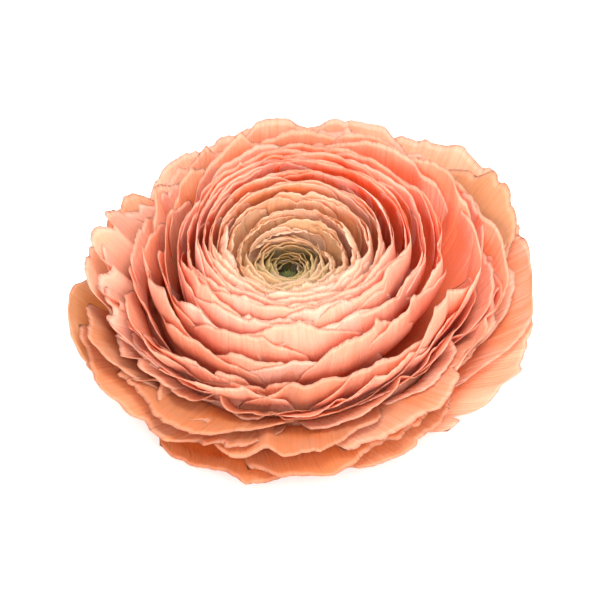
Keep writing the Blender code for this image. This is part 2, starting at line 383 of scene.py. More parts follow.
# ruffles and creases the sheet, then gives it two faces that meet in a thin rounded margin
def buildPetalSkin():
    sizes = {"Thickness": 0.0004, "Ruffle Height": 0.0006, "Ruffle Scale": 3.0, "Crease Height": 0.0002,
             "Crease Count": 14.0, "Seed": 0.0}
    tree, given = newGroup("petalSkin", "Sheet", sizes, "Petal Material", "Petal")
    places = {}
    for label in ("across", "along"):
        read = addNode(tree, "GeometryNodeInputNamedAttribute", {"Name": label}, data_type="FLOAT")
        places[label] = read.outputs["Attribute"]
    u, v = places["across"], places["along"]
    normal = addNode(tree, "GeometryNodeInputNormal").outputs["Normal"]

    def noise(acrossScale, alongScale, shift):
        spot = vectorNode(tree, times(tree, u, acrossScale), times(tree, v, alongScale), 0.0)
        inputs = {"Vector": spot, "W": plus(tree, given["Seed"], shift), "Scale": 1.0, "Detail": 1.5}
        node = addNode(tree, "ShaderNodeTexNoise", inputs, noise_dimensions="4D")
        return minus(tree, node.outputs[0], 0.5)

    # moves a sheet along its normals
    def moved(sheet, distance):
        step = addNode(tree, "ShaderNodeVectorMath", {0: normal, "Scale": distance}, operation="SCALE")
        moved = {"Geometry": sheet, "Offset": step.outputs[0]}
        return addNode(tree, "GeometryNodeSetPosition", moved).outputs[0]

    ruffle = times(tree, noise(given["Ruffle Scale"], 2.2, 0.0), rangeNode(tree, v, 0.45, 1.0))
    ruffle = times(tree, ruffle, given["Ruffle Height"])
    crease = times(tree, noise(given["Crease Count"], 1.1, 31.7), rangeNode(tree, v, 0.15, 0.85))
    crease = times(tree, crease, given["Crease Height"])
    ruffled = moved(given["Sheet"], plus(tree, ruffle, crease))

    # thickness falls to nothing at the margin, in a rounded section
    sideRoom = times(tree, minus(tree, 1.0, mathNode(tree, "ABSOLUTE", u)), 0.7)
    room = mathNode(tree, "MINIMUM", sideRoom, minus(tree, 1.0, v))
    room = mathNode(tree, "MINIMUM", room, times(tree, v, 3.0))
    inward = minus(tree, 1.0, mathNode(tree, "DIVIDE", room, petalShape["margin"], clamp=True), clamp=True)
    section = mathNode(tree, "SQRT", minus(tree, 1.0, times(tree, inward, inward), clamp=True))
    half = times(tree, section, rangeNode(tree, v, 0.2, 1.0, 1.0, 0.5))
    half = times(tree, half, times(tree, given["Thickness"], 0.5))
    outer, inner = [moved(ruffled, times(tree, half, sign)) for sign in (1.0, -1.0)]
    flipped = addNode(tree, "GeometryNodeFlipFaces", {0: storeNode(tree, inner, "inner", 1.0, "FACE")})
    joined = addNode(tree, "GeometryNodeJoinGeometry", {0: outer})
    tree.links.new(flipped.outputs[0], joined.inputs[0])
    sewing = {"Geometry": joined.outputs[0], "Distance": petalShape["sewn"]}
    sewn = addNode(tree, "GeometryNodeMergeByDistance", sewing)
    smooth = addNode(tree, "GeometryNodeSetShadeSmooth", {"Geometry": sewn.outputs[0]})
    addNode(tree, "NodeGroupOutput", {0: realize(tree, smooth.outputs[0], given["Petal Material"])})
    return tree


petalSkin = buildPetalSkin()


# skins a sheet, with its sizes in millimetres
def addSkin(piece, material, thickness, ruffle, ruffleScale, crease, creaseCount, seed):
    addNodes(piece, "skin", petalSkin, {
        "Thickness": thickness / 1000.0,
        "Ruffle Height": ruffle / 1000.0,
        "Ruffle Scale": ruffleScale,
        "Crease Height": crease / 1000.0,
        "Crease Count": creaseCount,
        "Seed": float(seed),
        "Petal Material": materials[material],
    })


# eases the furthest tips back, so that nothing reaches past the box of the CAD model
def keepInside(piece, ease=0.0012):
    points = np.empty(len(piece.data.vertices) * 3, dtype=np.float32)
    piece.data.vertices.foreach_get("co", points)
    points = points.reshape(-1, 3)
    lowEase = 0.4 * ease
    for axis in range(3):
        low, high = cadBox[0][axis], cadBox[1][axis]
        beyond = np.maximum(0.0, points[:, axis] - (high - ease))
        points[:, axis] -= beyond - 0.98 * ease * (1.0 - np.exp(-beyond / ease))
        short = np.maximum(0.0, (low + lowEase) - points[:, axis])
        points[:, axis] += short - 0.975 * lowEase * (1.0 - np.exp(-short / lowEase))
    piece.data.vertices.foreach_set("co", points.ravel())


def makePetal(name, spec, replaced=()):
    petal = petalBlank(name, spec, np.random.default_rng(spec["seed"]))
    addSkin(petal, "petal", spec.get("thickness", 0.36), spec["ruffle"], spec.get("ruffleScale", 2.4),
            spec["crease"], spec["creaseCount"], spec["seed"])
    bakeModifiers(petal)
    keepInside(petal)
    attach(petal, "root")
    for node in replaced:
        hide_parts(node)


# materials

materials = {}


def newMaterial(name):
    material = bpy.data.materials.new(name)
    material.use_nodes = True
    materials[name] = material
    tree = material.node_tree
    return tree, tree.nodes["Principled BSDF"]


def rampNode(tree, value, stops):
    node = addNode(tree, "ShaderNodeValToRGB", {0: value})
    node.color_ramp.interpolation = "EASE"
    elements = node.color_ramp.elements
    while len(elements) < len(stops):
        elements.new(0.5)
    for element, (place, colour) in zip(elements, stops):
        element.position = place
        element.color = (*colour, 1.0)
    return node.outputs[0]


def mixNode(tree, share, first, second, mode="MIX"):
    first, second = [(*value, 1.0) if isinstance(value, tuple) else value for value in (first, second)]
    inputs = {0: share, 6: first, 7: second}
    return addNode(tree, "ShaderNodeMix", inputs, data_type="RGBA", blend_type=mode).outputs[2]


def readNode(tree, name):
    return addNode(tree, "ShaderNodeAttribute", attribute_name=name).outputs["Fac"]


def noiseNode(tree, place, scale, detail=2.0, roughness=0.5):
    inputs = {"Vector": place, "Scale": scale, "Detail": detail, "Roughness": roughness}
    return addNode(tree, "ShaderNodeTexNoise", inputs).outputs[0]


def bumpNode(tree, height, strength, distance):
    inputs = {"Height": height, "Strength": strength, "Distance": distance}
    return addNode(tree, "ShaderNodeBump", inputs).outputs[0]


petalColours = {
    # over the layers, from the heart out to the guard petals
    "outerBlade": [
        (0.0, (0.34, 0.32, 0.07)), (0.06, (0.56, 0.50, 0.15)), (0.13, (0.90, 0.76, 0.38)),
        (0.22, (1.0, 0.81, 0.54)), (0.36, (1.0, 0.70, 0.44)), (0.50, (0.99, 0.47, 0.24)),
        (0.72, (0.98, 0.42, 0.18)), (0.88, (0.96, 0.39, 0.15)), (1.0, (0.90, 0.37, 0.13))],
    # inner faces: their own colour, and painted shade: on the middle layers they turn a deep red-orange, like
    # inner faces lying in shade between petals
    "innerBladeAndShade": [
        (0.0, (0.34, 0.32, 0.07)), (0.06, (0.56, 0.48, 0.12)), (0.13, (0.92, 0.74, 0.36)),
        (0.22, (1.0, 0.77, 0.44)), (0.36, (1.0, 0.50, 0.20)), (0.47, (0.98, 0.18, 0.045)),
        (0.64, (0.98, 0.21, 0.06)), (0.78, (0.98, 0.40, 0.21)), (1.0, (0.95, 0.44, 0.21))],
    "margin": [
        (0.0, (0.46, 0.44, 0.13)), (0.06, (0.72, 0.65, 0.28)), (0.13, (0.97, 0.87, 0.58)),
        (0.36, (1.0, 0.82, 0.62)), (0.50, (1.0, 0.63, 0.47)), (0.72, (1.0, 0.60, 0.44)),
        (1.0, (0.97, 0.64, 0.49))],
    # the claw is partly the petal's own base colour and partly painted shade: its saturated red-orange stands
    # in for the glow of light deep between the petals
    "claw": [
        (0.0, (0.24, 0.23, 0.04)), (0.13, (0.86, 0.65, 0.28)), (0.28, (1.0, 0.52, 0.23)),
        (0.50, (0.98, 0.16, 0.035)), (0.66, (0.98, 0.18, 0.045)), (0.80, (0.98, 0.33, 0.14)),
        (1.0, (0.94, 0.36, 0.15))],
    "clawFrom": 0.86,  # the claw's colour grows from here along the petal, and is full at clawTo
    "clawTo": 0.36,
    "rim": (0.93, 0.50, 0.38),
    "gold": (0.50, 0.30, 0.10),
    "goldMargin": (0.56, 0.37, 0.18),
    # painted shade: darker deep-orange colours for the blade and the margin of petals on the front side
    "deep": (0.68, 0.20, 0.035),
    "paintedShadeMargin": (0.58, 0.22, 0.08),
    "pale": (1.0, 0.76, 0.64),
    "warm": (0.95, 0.36, 0.15),
    "light": (1.0, 0.80, 0.68),
    "veinShade": (0.95, 0.74, 0.63),
    "through": (1.0, 0.44, 0.18),  # light that comes through a petal
    "patchScale": 140.0,
    "veinCount": 34.0,
    "ridges": 0.0005,
    "translucency": 0.52,
    "clawTranslucency": 0.72,
    "roughness": 0.52,
}


def buildPetalMaterial(name, options):
    tree, shader = newMaterial(name)
    u, v, layer, tint = [readNode(tree, label) for label in ("across", "along", "layer", "tint")]
    gold, deep, innerFace = [readNode(tree, label) for label in ("gold", "deep", "inner")]
    outerBlade, innerBladeAndShade = [rampNode(tree, layer, options[key]) for key in ("outerBlade", "innerBladeAndShade")]
    # inner faces take the deeper colour, partly painted shade
    blade = mixNode(tree, innerFace, outerBlade, innerBladeAndShade)
    # soft uneven patches over the blade
    place = addNode(tree, "ShaderNodeTexCoord").outputs["Object"]
    patches = noiseNode(tree, place, options["patchScale"], 3.0)
    # fan of fine veins: their places spread with the blade, so they run from the claw to the margin
    fan = vectorNode(tree, times(tree, u, options["veinCount"]), times(tree, v, 2.4), times(tree, tint, 40.0))
    veins = noiseNode(tree, fan, 1.0, 4.0, 0.6)
    vein = rangeNode(tree, veins, 0.40, 0.62)
    # the pale margin wanders in and out. on an inner face it's narrow, and narrowest halfway out
    wander = times(tree, minus(tree, patches, 0.5), 0.25)
    sideEdge = times(tree, mathNode(tree, "ABSOLUTE", u), 0.93)
    edge = mathNode(tree, "MAXIMUM", plus(tree, v, wander), sideEdge)
    fromHalfway = mathNode(tree, "ABSOLUTE", minus(tree, layer, 0.54))
    narrow = rangeNode(tree, fromHalfway, 0.10, 0.28, 0.46, 0.34)
    marginFrom = plus(tree, times(tree, innerFace, narrow), 0.45)
    marginShare = rangeNode(tree, edge, marginFrom, 1.0)
    colour = mixNode(tree, marginShare, blade, rampNode(tree, layer, options["margin"]))
    # painted shade with the claw's own colour: the lower part of each petal, deep between its neighbours,
    # turns a saturated red-orange
    clawAndShadeShare = rangeNode(tree, v, options["clawFrom"], options["clawTo"], 0.0, 0.9)
    colour = mixNode(tree, clawAndShadeShare, colour, rampNode(tree, layer, options["claw"]))
    # the veins are strongest on the outermost petals
    veinShare = times(tree, vein, rangeNode(tree, layer, 0.78, 0.92, 0.38, 0.85))
    colour = mixNode(tree, veinShare, colour, mixNode(tree, 1.0, colour, options["veinShade"], "MULTIPLY"))
    lightShare = times(tree, rangeNode(tree, patches, 0.42, 0.70), 0.10)
    colour = mixNode(tree, lightShare, colour, options["light"])
    # each petal is a little warmer or paler than the next
    colour = mixNode(tree, rangeNode(tree, tint, 0.5, 1.0, 0.0, 0.60), colour, options["pale"])
    colour = mixNode(tree, rangeNode(tree, tint, 0.5, 0.0, 0.0, 0.22), colour, options["warm"])
    golden = mixNode(tree, marginShare, options["gold"], options["goldMargin"])
    colour = mixNode(tree, times(tree, gold, 0.8), colour, golden)
    # painted shade: each petal is darkened towards a deep orange by the share it carries, in place of shade
    # on the front side
    paintedShadeColour = mixNode(tree, marginShare, options["deep"], options["paintedShadeMargin"])
    colour = mixNode(tree, times(tree, deep, 0.85), colour, paintedShadeColour)
    rimShare = times(tree, rangeNode(tree, v, 0.965, 1.0), 0.5)
    colour = mixNode(tree, rimShare, colour, mixNode(tree, 0.7, colour, options["rim"]))
    plug(tree, colour, shader.inputs["Base Color"])

    # fine lengthwise ridges catch the light along the margins
    ridge = times(tree, veins, rangeNode(tree, v, 0.1, 0.9, 0.3, 1.0))
    bump = bumpNode(tree, ridge, 0.8, options["ridges"])
    plug(tree, bump, shader.inputs["Normal"])
    rough = rangeNode(tree, vein, 0.0, 1.0, options["roughness"] - 0.06, options["roughness"] + 0.10)
    plug(tree, rough, shader.inputs["Roughness"])
    shader.inputs["Specular IOR Level"].default_value = 0.18
    shader.inputs["Sheen Weight"].default_value = 0.04
    shader.inputs["Sheen Roughness"].default_value = 0.5

    glow = {"Color": mixNode(tree, 0.32, colour, options["through"]), "Normal": bump}
    glow = addNode(tree, "ShaderNodeBsdfTranslucent", glow)
    # the blade is thinner and lets more light through deep between its neighbours
    thinness = rangeNode(tree, v, 0.95, 0.35, options["translucency"], options["clawTranslucency"])
    both = addNode(tree, "ShaderNodeMixShader", {0: thinness, 1: shader.outputs[0], 2: glow.outputs[0]})
    plug(tree, both.outputs[0], tree.nodes["Material Output"].inputs["Surface"])


buildPetalMaterial("petal", petalColours)

# dark, light and yellow tones
greens = {
    "stemGreen": ((0.13, 0.22, 0.03), (0.28, 0.38, 0.08), (0.46, 0.47, 0.15)),
    "carpelGreen": ((0.055, 0.065, 0.01), (0.15, 0.155, 0.03), (0.26, 0.23, 0.055)),
    "cutGreen": ((0.30, 0.38, 0.14), (0.52, 0.56, 0.28), (0.62, 0.62, 0.36)),
    "hair": ((0.50, 0.56, 0.34), (0.66, 0.70, 0.48), (0.72, 0.72, 0.52)),
}


def buildGreen(name, dark, light, yellow):
    tree, shader = newMaterial(name)
    place = addNode(tree, "ShaderNodeTexCoord").outputs["Object"]
    stretched = addNode(tree, "ShaderNodeMapping", {"Scale": (1.0, 1.0, 0.25), "Vector": place}).outputs[0]
    streaks = noiseNode(tree, stretched, 900.0, 3.0)
    patches = noiseNode(tree, place, 160.0)
    colour = mixNode(tree, rangeNode(tree, streaks, 0.30, 0.75, 0.2, 0.8), dark, light)
    colour = mixNode(tree, rangeNode(tree, patches, 0.42, 0.80, 0.0, 0.35), colour, yellow)
    # on a sepal, long veins and a pale thin margin
    u, v = readNode(tree, "across"), readNode(tree, "along")
    ribs = mathNode(tree, "SINE", times(tree, u, 22.0))
    ribShare = times(tree, rangeNode(tree, ribs, 0.55, 1.0), rangeNode(tree, v, 0.0, 0.1))
    colour = mixNode(tree, times(tree, ribShare, 0.45), colour, light)
    edge = mathNode(tree, "MAXIMUM", mathNode(tree, "ABSOLUTE", u), times(tree, v, 0.96))
    colour = mixNode(tree, rangeNode(tree, edge, 0.72, 1.0, 0.0, 0.75), colour, yellow)
    plug(tree, colour, shader.inputs["Base Color"])
    plug(tree, rangeNode(tree, streaks, 0.3, 0.7, 0.45, 0.65), shader.inputs["Roughness"])
    plug(tree, bumpNode(tree, plus(tree, streaks, ribShare), 0.4, 0.0003), shader.inputs["Normal"])
    shader.inputs["Specular IOR Level"].default_value = 0.3
    shader.inputs["Sheen Weight"].default_value = 0.15


for greenName, tones in greens.items():
    buildGreen(greenName, *tones)
print("materials:", ", ".join(materials))


# petals on their spiral

spiral = {
    "cadPetals": 37,
    "between": 4,  # petals for each CAD petal, itself included
    "outerLayer": 0.855,
    "start": 205.0,
    "turn": -111.25,
    "spread": 0.90,
    "widest": 21.0,
    "tuck": 0.020,
    "heartLayer": 0.25,  # inside it petals are small and crumpled
    "foldedLayer": 0.5,  # outside it they have a fold and a notch each
    "looseLeft": 155.0,  # directions where the ball's outer petals come loose
    "looseRight": -5.0,
}


# how loose a petal is near a direction, from a layer outwards
def looseness(layer, start, over, heading, direction):
    near = max(0.0, math.cos(heading - math.radians(direction)))
    return float(blend(0.0, 1.0, (layer - start) / over)) * near


# every fourth petal stands for one of the CAD petals, and the others lie between them
def makeSpiralPetals():
    steps = spiral["between"] * (spiral["cadPetals"] - 1)
    for step in range(steps + 1):
        rng = np.random.default_rng(500 + step)
        layer = spiral["outerLayer"] * (1.0 - step / steps)
        inside = 1.0 - layer
        heading = math.radians(spiral["start"] + step * spiral["turn"])
        front = max(0.0, -math.sin(heading))
        tall = rng.uniform(0.0, 1.0)
        broad = min(spiral["spread"] * float(tipRadius(layer)), spiral["widest"])
        spec = {
            "layer": layer,
            "direction": heading,
            "halfWidth": broad * rng.uniform(0.86, 1.08),
            "tuck": spiral["tuck"],
            "seed": 100 + step,
            "tint": 0.5 + rng.uniform(-0.4, 0.4),
            "lean": rng.uniform(-0.5, 0.3),
            "lift": (1.6 * tall - 0.9) * (1.0 + front),
            "curl": rng.uniform(-0.5, 0.0) - 1.0 * tall * (0.6 + front),
            "shoulder": rng.uniform(0.08, 0.16),
            "wave": 0.012 + 0.016 * inside,
            "ruffle": 0.7 + rng.uniform(0.0, 0.6),
            "crease": 0.20 + rng.uniform(0.0, 0.25) + 0.25 * inside**3,
            "creaseCount": 7.0 + 9.0 * layer,
            "shade": 0.12 + 0.88 * layer,
            "thickness": 0.22,
            # painted shade: outer petals on the near side are darkened, more the further out they lie
            "deep": 0.55 * front * float(blend(0.0, 1.0, (layer - 0.66) / 0.16)),
        }
        if layer < spiral["heartLayer"]:
            spec.update(ruffle=1.3, ruffleScale=4.5, crease=0.6, creaseCount=9.0, curl=rng.uniform(-1.6, 0.4))
            spec["notches"] = [(rng.uniform(-0.8, 0.8), rng.uniform(-0.06, 0.10), rng.uniform(0.05, 0.15))]
        if layer > spiral["foldedLayer"]:
            fold = rng.uniform(-0.7, 0.7), rng.uniform(0.4, 1.6) * layer, rng.uniform(0.10, 0.2)
            notch = rng.uniform(-0.8, 0.8), rng.uniform(-0.04, 0.06), rng.uniform(0.05, 0.15)
            spec.update(folds=[fold], notches=[notch])
        loose = looseness(layer, 0.62, 0.12, heading, spiral["looseLeft"])
        if loose > 0.3:
            spec["long"] = 1.0 + 0.10 * loose * rng.uniform(0.2, 1.0)
            spec["halfWidth"] *= 1.0 - 0.30 * loose
            spec["folds"] = [(rng.uniform(-0.6, 0.6), -1.6 * loose * rng.uniform(0.5, 1.0), 0.22)]
            spec["notches"] = [(rng.uniform(-0.4, 0.4), -0.09 * loose * rng.uniform(0.3, 1.0), 0.2)]
            spec["gold"] = rng.uniform(0.0, 0.35)
            spec["curl"] = rng.uniform(-0.4, 0.8)
        loose = looseness(layer, 0.60, 0.14, heading, spiral["looseRight"])
        if loose > 0.3:
            spec["long"] = 1.0 + 0.06 * loose * rng.uniform(0.0, 1.0)
            spec["lean"] = 3.4 * loose * rng.uniform(0.3, 1.0)
            spec["halfWidth"] *= 1.0 - 0.25 * loose
            spec["tint"] = rng.uniform(0.1, 0.5)
        number, between = divmod(step, spiral["between"])
        replaced = [] if between else [f"petal_{number + 1:02d}"]
        makePetal(f"innerPetal{step + 1:03d}", spec, replaced)
    print("inner petals:", steps + 1)


# the guard petals, each set one by one: direction, layer, half width, length, tint, gold, painted shade, and
# what else sets it apart. gold is how yellow the petal has turned. painted shade darkens a petal to a deep
# orange in place of shade, strongest on the front side. a notch is its place across, depth and width, and one
# of negative depth makes a point
guardPetals = [
    (3, 0.955, 21.0, 1.0, 0.55, 0.1, 0.3, {}),
    (24, 0.91, 20.0, 1.05, 0.7, 0.9, 0.25, {"ruffle": 2.2,
     "notches": [(-0.55, 0.05, 0.1), (0.35, 0.03, 0.08)]}),
    (46, 1.0, 20.0, 1.02, 0.7, 0.1, 0.1, {}),
    (75, 0.955, 20.0, 1.0, 0.9, 0.2, 0.0, {"ruffle": 1.8}),
    (95.5, 0.91, 19.0, 0.98, 0.85, 0.05, 0.0, {}),
    (116, 1.0, 20.0, 0.98, 0.8, 0.05, 0.0, {}),
    (147, 0.955, 19.0, 0.97, 0.6, 0.3, 0.3, {"notches": [(0.3, -0.05, 0.2), (-0.5, 0.05, 0.12)],
     "folds": [(0.35, 1.2, 0.14)]}),
    (167.5, 0.91, 19.0, 1.02, 0.9, 0.15, 0.2, {"folds": [(-0.3, 2.0, 0.13), (0.25, 1.6, 0.12)],
     "ruffle": 2.0}),
    (188, 1.0, 22.0, 0.97, 0.7, 0.9, 0.2, {"ruffle": 1.4}),
    (219, 0.955, 25.0, 1.0, 0.35, 0.4, 0.7, {"shoulder": 0.05}),
    (239.5, 0.91, 23.0, 1.0, 0.3, 0.1, 1.0, {"shoulder": 0.05}),
    (260, 1.0, 23.0, 0.9, 0.3, 0.1, 1.0, {"notches": [(-0.04, -0.1, 0.13)], "shoulder": 0.05}),
    (289, 0.955, 24.0, 0.99, 0.4, 0.35, 1.0, {"shoulder": 0.05}),
    (314, 0.91, 22.0, 1.02, 0.6, 0.2, 0.5, {"notches": [(0.5, 0.06, 0.06)], "shoulder": 0.06}),
    (341, 1.0, 18.0, 1.03, 0.95, 0.15, 0.3, {"ruffle": 3.0, "ruffleScale": 4.0,
     "notches": [(-0.75, 0.09, 0.07), (0.3, 0.04, 0.08)], "shoulder": 0.1}),
]

# more petals between them and just inside: direction, layer, half width, tint, gold, painted shade
openPetals = [
    (12, 0.93, 19.0, 0.7, 0.2, 0.1), (33, 0.885, 18.0, 0.6, 0.6, 0.1), (60, 0.940, 18.0, 0.8, 0.3, 0.0),
    (85, 0.885, 18.0, 0.8, 0.0, 0.0), (104, 0.925, 17.0, 0.8, 0.1, 0.0), (131, 0.890, 17.0, 0.8, 0.1, 0.1),
    (157, 0.93, 18.0, 0.9, 0.1, 0.0), (176, 0.942, 17.0, 0.9, 0.3, 0.1), (198, 0.885, 19.0, 0.8, 0.1, 0.1),
    (203, 0.940, 18.0, 0.5, 0.5, 0.5), (230, 0.93, 22.0, 0.5, 0.1, 0.8), (248, 0.880, 21.0, 0.5, 0.1, 0.7),
    (244, 0.945, 17.0, 0.4, 0.2, 0.9), (272, 0.930, 22.0, 0.5, 0.2, 0.9), (278, 0.880, 21.0, 0.5, 0.1, 0.7),
    (306, 0.985, 16.0, 0.7, 0.3, 0.7), (304, 0.885, 20.0, 0.6, 0.0, 0.5), (326, 0.930, 18.0, 0.8, 0.2, 0.3),
    (140, 0.845, 17.0, 0.7, 0.0, 0.0), (162, 0.860, 17.0, 0.6, 0.0, 0.0), (184, 0.845, 17.0, 0.5, 0.0, 0.0),
    (207, 0.860, 18.0, 0.4, 0.0, 0.0), (318, 0.855, 18.0, 0.5, 0.0, 0.0), (338, 0.845, 17.0, 0.6, 0.0, 0.0),
    (0, 0.860, 17.0, 0.6, 0.0, 0.0), (22, 0.845, 17.0, 0.8, 0.0, 0.0), (44, 0.860, 17.0, 0.8, 0.0, 0.0),
    (193, 0.905, 17.0, 0.6, 0.0, 0.1), (214, 0.900, 18.0, 0.5, 0.1, 0.3), (222, 0.870, 18.0, 0.4, 0.0, 0.1),
    (227, 0.830, 17.0, 0.4, 0.0, 0.0), (243, 0.850, 18.0, 0.4, 0.0, 0.0), (290, 0.850, 18.0, 0.4, 0.0, 0.0),
    (308, 0.830, 17.0, 0.4, 0.0, 0.0), (331, 0.900, 17.0, 0.5, 0.0, 0.1), (328, 0.825, 17.0, 0.4, 0.0, 0.0),
    (10, 0.980, 16.0, 0.8, 0.2, 0.2), (352, 0.885, 19.0, 0.6, 0.0, 0.3),
]

# what the outer petals have unless their line says otherwise
outerPetal = {
    "tuck": 0.024,
    "shoulder": 0.20,
    "ruffle": 1.6,
    "crease": 0.5,
    "creaseCount": 16.0,
    "lean": 0.0,
    "curl": 0.8,
    "wave": 0.03,
}


def makeOuterPetal(name, seed, direction, layer, halfWidth, tint, gold, deep, others, replaced=()):
    spec = {**outerPetal, **others, "seed": seed, "direction": math.radians(direction), "layer": layer,
            "halfWidth": halfWidth, "tint": tint, "gold": gold, "deep": deep}
    makePetal(name, spec, replaced)


def makeGuardPetals():
    for number, (direction, layer, halfWidth, long, tint, gold, deep, others) in enumerate(guardPetals, 1):
        others = {**others, "long": long}
        makeOuterPetal(f"guardPetal{number:02d}", 700 + number, direction, layer, halfWidth, tint, gold, deep,
                       others, [f"guard_petal_{number:02d}"])
    for number, line in enumerate(openPetals, 1):
        rng = np.random.default_rng(1200 + number)
        direction, layer = line[:2]
        near = max(0.0, -math.sin(math.radians(direction)))
        calm = 0.3 if layer > 0.935 or layer < 0.88 else 1.0  # these lie close between two others
        others = {
            "long": rng.uniform(0.96, 1.01),
            "shoulder": 0.14 - 0.08 * near,
            "ruffle": rng.uniform(1.2, 2.2) * calm,
            "curl": rng.uniform(-0.4, 0.8) * calm,
            "folds": [(rng.uniform(-0.5, 0.5), rng.uniform(0.6, 1.6) * calm, rng.uniform(0.10, 0.18))],
        }
        makeOuterPetal(f"openPetal{number:02d}", 760 + number, *line, others)
    print("guard petals:", len(guardPetals) + len(openPetals))


# the smallest petals, furled round the carpels. pairs are for the innermost and the outermost
heart = {
    "petals": 34,
    "footRadius": (2.4, 4.6),
    "footHeight": (17.6, 16.9),
    "petalHeight": (4.4, 8.8),
    "tilt": (-10.0, 15.0),  # degrees outwards
    "turn": 137.5,
    "halfTurn": 52.0,  # how far one petal reaches round, in degrees to each side
    "rows": 21,
    "columns": 27,
    "shade": 0.12,  # the outermost one's layer, for its colour
    "seed": 3,
}


# one small cupped petal of unit height, its foot at the origin and its back towards +X
def heartBlank():
    across, along = sheetPlaces(heart["rows"], heart["columns"])
    rng = np.random.default_rng(heart["seed"])
    margin = 0.16 * np.abs(across) ** 2.4 * along
    length = along * (1.0 - margin + 0.035 * waviness((across + 1) / 2, 6, rng) * along)
    turn = math.radians(heart["halfTurn"]) * across * blend(0.22, 1.0, length / 0.6)
    bulge = 0.20 * np.sin(math.pi * np.minimum(length, 1.0) * 0.92)
    x = 0.85 * (np.cos(turn) - 1.0) + bulge * np.cos(turn) - 0.10 * length**3
    y = (0.85 + bulge) * np.sin(turn)
    return newSheet("heartBlank", x / 1000.0, y / 1000.0, length / 1000.0, {"across": across, "along": along})


# sets small petals round the middle, each a golden turn from the last and a step further out
def buildHeartWhorl():
    inputs = {"Count": 40, "Turn": 0.0, "Inner Radius": 0.0, "Outer Radius": 0.0, "Inner Height": 0.0,
              "Outer Height": 0.0, "Inner Size": 0.0, "Outer Size": 0.0, "Inner Tilt": 0.0, "Outer Tilt": 0.0,
              "Seed": 1}
    tree, given = newGroup("heartWhorl", "Petal", inputs, "Petal Material", "Whorl")
    points, index = countedPoints(tree, given["Count"])
    share = mathNode(tree, "DIVIDE", index, minus(tree, given["Count"], 1.0))
    stray = randomNode(tree, -1.0, 1.0, given["Seed"])

    def between(label):
        inner, outer = given["Inner " + label], given["Outer " + label]
        return rangeNode(tree, share, 0.0, 1.0, inner, outer, smooth=False)

    turn = plus(tree, times(tree, index, given["Turn"]), times(tree, stray, 0.16))
    spread = aroundMiddle(tree, points, between("Radius"), turn, between("Height"))
    facing = vectorNode(tree, 0.0, plus(tree, between("Tilt"), times(tree, stray, 0.07)), turn)
    size = times(tree, between("Size"), plus(tree, 1.0, times(tree, stray, 0.06)))
    petals = instanceNode(tree, spread, given["Petal"], facing, size)
    petals = storeNode(tree, petals, "layer", times(tree, share, heart["shade"]), "INSTANCE")
    petals = storeNode(tree, petals, "tint", plus(tree, 0.5, times(tree, stray, 0.4)), "INSTANCE")
    addNode(tree, "NodeGroupOutput", {0: realize(tree, petals, given["Petal Material"])})
    return tree


# a made piece moves from the origin to its height on the bloom's axis, in millimetres
def seatPiece(piece, name, height):
    bakeModifiers(piece)
    piece.name = piece.data.name = name
    for vertex in piece.data.vertices:
        vertex.co += Vector((axisX, axisY, bloomZ + height / 1000.0))


def makeHeart():
    whorl = heartBlank()
    values = {"Count": heart["petals"], "Turn": math.radians(heart["turn"]), "Seed": heart["seed"],
              "Petal Material": materials["petal"]}
    for label, key, scale in (("Radius", "footRadius", 0.001), ("Height", "footHeight", 0.001),
                              ("Size", "petalHeight", 1.0), ("Tilt", "tilt", math.pi / 180)):
        values["Inner " + label] = heart[key][0] * scale
        values["Outer " + label] = heart[key][1] * scale
    addNodes(whorl, "whorl", buildHeartWhorl(), values)
    addSkin(whorl, "petal", thickness=0.22, ruffle=1.8, ruffleScale=2.2, crease=0.6, creaseCount=6.0, seed=7)
    seatPiece(whorl, "heartPetals", 0.0)
    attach(whorl, "root")
    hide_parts("heart_petals")
    print("heart petals:", heart["petals"])


# the tiny carpels in the middle
carpels = {
    "count": 150,
    "radius": 2.5,
    "height": 2.3,
    "foot": 17.2,
    "length": 1.25,
    "thickness": 0.30,
    # height and size up a carpel, as shares of its length and thickness
    "rings": [(0.0, 0.35), (0.15, 0.9), (0.40, 1.0), (0.65, 0.72), (0.85, 0.34), (1.0, 0.12)],
    "sides": 6,
    "turn": 137.508,
    "lean": 1.25,  # how far the outermost lean out, in radians
    "lengths": (0.8, 1.2),  # the shortest and the longest, as shares of the length
    "seed": 5,
}


# a beaked seed of unit length, its beak bent over
def carpelBlank():
    rings, sides = carpels["rings"], carpels["sides"]
    thick = carpels["thickness"] / carpels["length"]
    points = []
    for height, size in rings:
        beak = 0.9 * max(0.0, height - 0.6) ** 1.5
        for side in range(sides):
            turn = math.tau * side / sides
            x, y = size * math.cos(turn) + beak, size * math.sin(turn)
            points.append((x * thick / 1000.0, y * thick / 1000.0, height / 1000.0))
    faces = [tuple(reversed(range(sides)))]
    for low in range(0, len(points) - sides, sides):
        for side in range(sides):
            here, after = low + side, low + (side + 1) % sides
            faces.append((here, after, after + sides, here + sides))
    faces.append(tuple(range(len(points) - sides, len(points))))
    mesh = bpy.data.meshes.new("carpelBlank")
    mesh.from_pydata(points, [], faces)
    mesh.shade_smooth()
    return newObject("carpelBlank", mesh)


